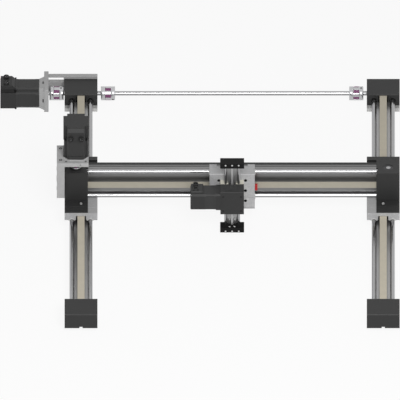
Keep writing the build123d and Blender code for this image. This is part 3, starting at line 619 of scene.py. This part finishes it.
def coupling(name, body):
    # two hubs, a shaft where there is a gap up to a motor's plate, the jaws, the star and clamp screws
    size, axes = couplings[name if name in couplings else "sync"], couplingAxes(name)
    middle = spotsOn(axes, [(0, 0, 0)], (0, 0, 1))
    hubs = [turned(f"{name}_coupling_hub_{number}", rows, middle, couplings["hubSides"], "hub", body)
            for number, rows in enumerate(hubRows(size), 1)]
    if "gap" in size:
        radius, sink = couplings["shaftRadius"], couplings["shaftSink"]
        turned(f"{name}_coupling_shaft", [(radius, -sink, 0), (radius, size["gap"] + sink, 0)], middle,
               couplings["shaftSides"], "rail", body)
    jaws, legs = jawsAndStar(size)
    edge = couplings["edge"]
    carried(f"{name}_coupling_jaws", jaws, axes, "hub", body, edge)
    star = carried(f"{name}_coupling_star", legs, axes, "couplingStar", body, edge)
    if name in couplingNodes:
        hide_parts(couplingNodes[name][0])
        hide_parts(couplingNodes[name][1])
    screwHeads(f"{name}_coupling_clamp_screws", couplings["screwRadius"], clampSpots(size, axes),
               "blackScrew", body)


# rear caps of the two large motors: notched corners, a sloping pad and two round sockets on it; the
# sockets' and pins' heights are taken from the pad's face, and socketAt from the cap's start
motorCaps = {
    "half": 28.2, "notch": 8.5, "inset": 1.0, "edge": 0.9,
    "padHalf": 19.2, "padRise": 6.5, "padSlope": 8.0, "seam": 0.2,
    "socketRadius": 6.1, "socketHeight": 5.0, "socketSpread": 11.8, "socketFoot": -1.0,
    "socketRim": 0.4, "socketLip": 1.2, "socketWall": 1.5, "socketFloor": 1.5, "socketSides": 40,
    "pins": 5, "pinRing": 2.4, "pinRadius": 0.5, "pinTip": 0.3, "pinSides": 10,
    "pinFoot": 1.4, "pinShoulder": 3.6, "pinTop": 4.0, "screwRadius": 2.4, "screwProud": 2.2,
    "floor": {"pad": -1, "socketAt": 21.3}, "bridge": {"pad": 1, "socketAt": 9.2},
}


def capOutline():
    # a square with its corners notched: three points, turned by quarters
    half, near = motorCaps["half"], motorCaps["half"] - motorCaps["notch"]
    quarter = np.array([(half, -near), (half, near), (near, near)])
    turns = [np.array([[math.cos(a), math.sin(a)], [-math.sin(a), math.cos(a)]])
             for a in np.arange(4) * math.pi / 2]
    return np.concatenate([quarter @ turn for turn in turns])


def padOutline(own, low, high, middle):
    # the pad's flank slopes on the side away from the sockets
    foot, face = motorCaps["half"] - motorCaps["inset"], motorCaps["half"] + motorCaps["padRise"]
    slope = motorCaps["padSlope"]
    if own["socketAt"] > middle:
        flank = [(foot, low), (face, low + slope), (face, high), (foot, high)]
    else:
        flank = [(foot, low), (face, low), (face, high - slope), (foot, high)]
    return [(own["pad"] * v, w) for v, w in flank]


def socketRows():
    # up the outside, over the rim and down to the socket's floor
    size = motorCaps
    radius, tall, foot = size["socketRadius"], size["socketHeight"], size["socketFoot"]
    wall, floor, shoulder = radius - size["socketWall"], size["socketFloor"], tall - size["socketRim"]
    return [(0, foot, 0), (radius, foot, 0), (radius, shoulder, 0), (radius - size["socketRim"], tall, 0),
            (radius - size["socketLip"], tall, 0), (wall, shoulder, 0), (wall, floor, 0), (0, floor, 0)]


def motorCap(name):
    size, own, axes, body = motorCaps, motorCaps[name], driveAxes[name], bodyOf[name]
    start = reachAlong(axes, name + "_motor_body")[1]
    end = reachAlong(axes, name + "_motor_cap")[1]
    pad = padOutline(own, start + size["seam"], end - size["inset"], (end - start) / 2)
    runs = [("uv", capOutline(), start, end), ("vw", pad, -size["padHalf"], size["padHalf"])]
    shell = carried(name + "_motor_rear_cap", runs, axes, "block", body, size["edge"])
    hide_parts(name + "_motor_cap")
    face = own["pad"] * (size["half"] + size["padRise"])
    middles = [(x, face, start + own["socketAt"]) for x in (-size["socketSpread"], size["socketSpread"])]
    way = (0, own["pad"], 0)
    sockets = turned(name + "_motor_sockets", socketRows(), spotsOn(axes, middles, way),
                     size["socketSides"], "socket", body)
    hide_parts(name + "_motor_connectors")
    pin = [(size["pinRadius"], size["pinFoot"], 0), (size["pinRadius"], size["pinShoulder"], 0),
           (size["pinTip"], size["pinTop"], 0), (0, size["pinTop"], 0)]
    ring = np.arange(size["pins"]) * 2 * math.pi / size["pins"]
    places = [(x + size["pinRing"] * math.cos(a), y, z + size["pinRing"] * math.sin(a))
              for x, y, z in middles for a in ring]
    turned(name + "_motor_pins", pin, spotsOn(axes, places, way), size["pinSides"], "gear", body)
    inset = size["half"] - size["notch"] / 2
    spots = spotsOn(axes, [(x, y, start) for x in (-inset, inset) for y in (-inset, inset)], (0, 0, 1))
    screwHeads(name + "_motor_cap_screws", size["screwRadius"], spots, "blackScrew", body, size["screwProud"])


# motor angles in millimetres along the drive's u, v and w: a plate across the shaft, and a leg on the
# block's end that lies between legU and the plate's end and reaches back to legLow; the screws on the
# leg are (v, w), those on the plate (u, v), and the floor's leg has a window from one v to another,
# down to a value of w
angles = {
    "edge": 0.7,
    "floor": {
        "plateU": (-32.0, 42.0), "plateV": (-31.3, 29.2), "plateW": (36.0, 46.0), "legU": 32.0,
        "legLow": -74.0, "legV": (-24.3, 19.7), "window": (-20.3, -8.7, 2.0),
        "m5": [(-14.2, -20.7), (-14.2, -59.2), (13.8, -20.7), (13.8, -59.2)],
        "m4": [(37.0, -1.0), (37.0, 13.0)],
    },
    "bridge": {
        "plateU": (-28.5, 43.0), "plateV": (-32.8, 38.2), "plateW": (27.4, 37.4), "legU": 25.5,
        "legLow": -58.2,
        "m5": [(-19.0, -16.3), (-19.0, -46.6), (15.0, -16.3), (15.0, -46.6)],
        "m4": [(34.3, -20.7), (34.3, 24.5)],
        "m3": [(-22.0, 30.5), (22.0, 30.5), (-22.0, -28.5), (22.0, -28.5)],
        "setScrew": (-10.1, 38.2, 32.4), "setProud": 0.1,
    },
}


def angleRuns(size):
    # with a window, plate and leg are two runs; without one, both are a single bent outline
    (u0, u1), (v0, v1), (w0, w1) = size["plateU"], size["plateV"], size["plateW"]
    leg, low = size["legU"], size["legLow"]
    if "window" not in size:
        return [("uw", [(u0, w0), (u0, w1), (u1, w1), (u1, low), (leg, low), (leg, w0)], v0, v1)]
    first, last, depth = size["window"]
    start, end = size["legV"]
    flank = [(start, low), (start, w0), (first, w0), (first, depth), (last, depth), (last, w0), (end, w0),
             (end, low)]
    return [("uv", rectangle(u0, u1, v0, v1), w0, w1), ("vw", flank, leg, u1)]


def motorAngle(name):
    size, axes, body = angles[name], driveAxes[name], bodyOf[name]
    side, top = size["plateU"][1], size["plateW"][1]
    angle = carried(name + "_motor_angle", angleRuns(size), axes, "bracket", body,
                    angles["edge"])
    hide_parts(name + "_motor_bracket")
    spots = spotsOn(axes, [(side, v, w) for v, w in size["m5"]], (1, 0, 0))
    heads = screwHeads(name + "_angle_screws_m5", headScrew["m5"], spots, "blackScrew", body)
    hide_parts("floor_screws" if name == "floor" else "bridge_bracket_screws")
    for thread in ("m4", "m3"):
        if thread in size:
            spots = spotsOn(axes, [(u, v, top) for u, v in size[thread]], (0, 0, 1))
            screwHeads(f"{name}_angle_screws_{thread}", headScrew[thread], spots, "blackScrew", body)
    if "setScrew" in size:
        screwHeads(name + "_angle_set_screw", headScrew["setScrew"],
                   spotsOn(axes, [size["setScrew"]], (0, 1, 0)), "blackScrew", body, size["setProud"])


# the bridge motor stands on an eight-sided spacer; cut is how much its corners lose
spacer = {"cut": 12.2, "edge": 0.2}


def bridgeSpacer():
    axes, half = driveAxes["bridge"], motorCaps["half"]
    near = half - spacer["cut"]
    outline = [(half, -near), (half, near), (near, half), (-near, half), (-half, near), (-half, -near),
               (-near, -half), (near, -half)]
    runs = [("uv", outline, angles["bridge"]["plateW"][1], reachAlong(axes, "bridge_motor_body")[0])]
    piece = carried("bridge_motor_spacer", runs, axes, "bracket", "bridge", spacer["edge"])
    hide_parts("bridge_motor_adapter")


# black blocks in the middle of the floor adapter's four sides, painted shade that stands for the dark inside
# its slots; over is how far the adapter stands past the motor's cap
slotShadeBlocks = {"wide": 2.8, "tall": 9.0, "depth": 3.0, "from": 0.8, "proud": 0.35, "over": 1.0, "edge": 0.2}


def adapterSlotShades():
    # four rectangles round the shaft, carried along it
    size = slotShadeBlocks
    reach = motorCaps["half"] + size["over"] + size["proud"]
    low = angles["floor"]["plateW"][1] + size["from"]
    near, side = reach - size["depth"], size["tall"] / 2
    outlines = [rectangle(near, reach, -side, side), rectangle(-reach, -near, -side, side),
                rectangle(-side, side, near, reach), rectangle(-side, side, -reach, -near)]
    runs = [("uv", outline, low, low + size["wide"]) for outline in outlines]
    # the near-black socket finish here is painted shade inside the slots
    carried("floor_adapter_slot_shades", runs, driveAxes["floor"], "socket", "base", size["edge"])


# flat black plates that reach forward from the bridge's end blocks and stand for the shade on the carriages
# there, painted shade as a dark sheet, with grooves across and one bright screw each; grooves and screwInset
# are distances from the block, gap is what a plate keeps from the block and tuck what it keeps from the
# carriage's front edge
shadePlates = {
    "thick": 3.0, "grooves": (24.0, 30.0, 36.0), "grooveHalf": 0.8, "grooveDeep": 1.0,
    "gap": 0.1, "tuck": 1.0, "edge": 0.3, "screwInset": 13.0, "screwRadius": 3.4, "screwProud": 1.2,
}


def frontShadePlates():
    # a flat profile in depth and height, carried across the block's width
    part, runs, spots = driveAxes["part"], [], []
    for side in ("left", "right"):
        block = corners("bridge_end_block_" + side) / mm
        carriage = corners("floor_carriage_" + side) / mm
        base, start, end = carriage[1][2], block[0][1] - shadePlates["gap"], carriage[0][1] + shadePlates["tuck"]
        top = base + shadePlates["thick"]
        low = top - shadePlates["grooveDeep"]
        profile = [(start, base), (start, top)]
        for groove in shadePlates["grooves"]:
            near, far = start - groove + shadePlates["grooveHalf"], start - groove - shadePlates["grooveHalf"]
            profile += [(near, top), (near, low), (far, low), (far, top)]
        profile += [(end, top), (end, base)]
        runs.append(("vw", profile, block[0][0], block[1][0]))
        spots.append((carriage.mean(0)[0], start - shadePlates["screwInset"], top))
    # black plates: painted shade on the carriage in front of the beam's end block
    carried("front_shade_plates", runs, part, "block", "bridge", shadePlates["edge"])
    screwHeads("front_foot_screws", shadePlates["screwRadius"], spotsOn(part, spots, (0, 0, 1)), "fastener",
               "bridge", shadePlates["screwProud"])


# wipers round the rails at the carriage ends, as the part of a ring above the rail's seat; railSide is
# how far a floor rail lies from its carriage's middle
wipers = {
    "inner": 5.8, "outer": 8.2, "thick": 1.5, "arc": 137.0, "steps": 16, "edge": 0.2,
    "railSide": 21.0, "railRadius": 5.0,
}


def wiperArc(middle, centre):
    # a ring's sector about a direction, given in degrees
    size = wipers
    return sector(size["inner"], size["outer"], middle - size["arc"] / 2, size["arc"], centre, size["steps"])


def wiperPair(plane, outline, start, end):
    # one just before the carriage and one just behind it
    thick = wipers["thick"]
    return [(plane, outline, start - thick, start), (plane, outline, end, end + thick)]


def railWipers():
    part, runs = driveAxes["part"], []
    height = (corners("floor_rails") / mm)[:, 2].mean()
    for side in ("left", "right"):
        carriage = corners("floor_carriage_" + side) / mm
        middle = carriage.mean(0)[0]
        for x in (middle - wipers["railSide"], middle + wipers["railSide"]):
            runs += wiperPair("uw", wiperArc(90, (x, height)), carriage[0][1], carriage[1][1])
    carried("floor_carriage_wipers", runs, part, "footBlock", "bridge", wipers["edge"])
    rails, carriage, runs = corners("bridge_rails") / mm, corners("bridge_carriage") / mm, []
    depth = rails[:, 1].mean()
    for z in (rails[0][2] + wipers["railRadius"], rails[1][2] - wipers["railRadius"]):
        runs += wiperPair("vw", wiperArc(180, (depth, z)), carriage[0][0], carriage[1][0])
    carried("bridge_carriage_wipers", runs, part, "footBlock", "cross_carriage",
            wipers["edge"])


# raised strips on the beam's top and bottom that leave its slots open, as distances from the beam's back
beamStrips = {"strips": ((0.2, 9.0), (9.7, 13.0), (16.3, 24.4)), "high": 0.6, "inset": 0.1, "edge": 0.15}


def beamCovers():
    # rectangles in depth and height, carried along the beam
    beam, high, runs = corners("bridge_profile") / mm, beamStrips["high"], []
    (left, _, bottom), (right, back, top) = beam
    for near, far in beamStrips["strips"]:
        for low in (top, bottom - high):
            outline = rectangle(back - far, back - near, low, low + high)
            runs.append(("vw", outline, left + beamStrips["inset"], right - beamStrips["inset"]))
    carried("beam_cover_strips", runs, driveAxes["part"], "beamProfile", "bridge",
            beamStrips["edge"])


# screws on the mounting plate, where the node has them, and small ones on the housing's front
housingScrews = {"x": (-20.0, 20.0), "z": (17.6, -21.0), "proud": 0.15}


def carriageScrews():
    part, radius = driveAxes["part"], headScrew["m4"]
    plate = corners("vertical_mount_plate") / mm
    housing = corners("vertical_drive_housing") / mm
    old = corners("carriage_screws") / mm
    columns = (old[0][0] + radius, old[1][0] - radius)
    rows = (old[0][2] + radius, old[:, 2].mean(), old[1][2] - radius)
    spots = spotsOn(part, [(x, plate[0][1], z) for x in columns for z in rows], (0, -1, 0))
    heads = screwHeads("mount_plate_screws", radius, spots, "blackScrew", "cross_carriage")
    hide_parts("carriage_screws")
    middle = housing[:, 2].mean()
    places = [(x, housing[0][1], middle + z) for x in housingScrews["x"] for z in housingScrews["z"]]
    screwHeads("housing_screws", headScrew["m3"], spotsOn(part, places, (0, -1, 0)), "blackScrew",
               "cross_carriage", housingScrews["proud"])


for name in ("floor", "left", "right"):
    coupling(name, "sync_drive")
coupling("bridge", "bridge_drive")
print("couplings made")
motorCap("floor")
motorAngle("floor")
adapterSlotShades()
motorCap("bridge")
motorAngle("bridge")
bridgeSpacer()
print("motor caps and angles made")
frontShadePlates()
railWipers()
beamCovers()
carriageScrews()
print("feet, wipers, strips and screws made")

# floor and sky scatter light like pale paint and a dim sky, but are seen as nearly white
room = {
    "floorHeight": -0.0095, "reach": 8.0, "paint": (0.93, 0.93, 0.93), "paintRough": 0.9, "seenWhite": 0.9,
    "white": (1, 1, 1), "sky": (0.9, 0.9, 0.9), "skyStrength": 0.28,
}


def seenRays(shader):
    # 1 for what the camera sees, also in reflections and through glass, and 0 for scattered light
    camera, glossy, through = [shader.add("ShaderNodeLightPath", {}, [], output=ray) for ray in
                               ("Is Camera Ray", "Is Glossy Ray", "Is Transmission Ray")]
    return (camera + glossy + through).clamp()


reach, low = room["reach"], room["floorHeight"]
sheet = bpy.data.meshes.new("floor")
sheet.from_pydata([(-reach, -reach, low), (reach, -reach, low), (reach, reach, low), (-reach, reach, low)],
                  [], [(0, 1, 2, 3)])
floor = bpy.data.objects.new("floor", sheet)
bpy.context.scene.collection.objects.link(floor)
paint = Finish("paleFloor")
paint.set(Base_Color=room["paint"], Roughness=room["paintRough"])
glow = paint.add("ShaderNodeEmission", {}, {"Color": room["white"], "Strength": 1.0})
matt = Wire(paint, paint.surface.outputs[0])
blend = paint.add("ShaderNodeMixShader", {}, {0: seenRays(paint) * room["seenWhite"], 1: matt, 2: glow})
paint.feed(paint.tree.nodes["Material Output"].inputs["Surface"], blend)
sheet.materials.append(paint.material)

world = bpy.data.worlds.new("studio")
bpy.context.scene.world = world
world.use_nodes = True
sky = Shader(world.node_tree)
soft = sky.tree.nodes["Background"]
sky.feed(soft.inputs["Color"], room["sky"])
sky.feed(soft.inputs["Strength"], room["skyStrength"])
white = sky.add("ShaderNodeBackground", {}, {"Color": room["white"], "Strength": 1.0})
mixSky = sky.add("ShaderNodeMixShader", {}, {0: seenRays(sky), 1: Wire(sky, soft.outputs[0]), 2: white})
sky.feed(sky.tree.nodes["World Output"].inputs["Surface"], mixSky)

lamp = {"spot": (0.3, -2.5, 2.35), "size": 1.3, "power": 66}
view = {"aim": (-0.0723, 0, 0.0288), "tilt": 35.264, "width": 0.9, "distance": 3.0}
aim, tilt = Vector(view["aim"]), math.radians(view["tilt"])


def aimed(name, data, spot):
    # a lamp or camera at a spot, turned towards the aim
    holder = bpy.data.objects.new(name, data)
    holder.location = spot
    holder.rotation_euler = (aim - Vector(spot)).to_track_quat("-Z", "Y").to_euler()
    bpy.context.scene.collection.objects.link(holder)
    return holder


light = bpy.data.lights.new("front", "AREA")
light.size = lamp["size"]
light.energy = lamp["power"]
aimed("front", light, lamp["spot"])

eye = bpy.data.cameras.new("eye")
eye.type = "ORTHO"
eye.ortho_scale = view["width"]
away = Vector((0, -math.cos(tilt), math.sin(tilt))) * view["distance"]
bpy.context.scene.camera = aimed("eye", eye, aim + away)
bpy.context.scene.view_settings.view_transform = "Standard"
print("room, light and camera set")
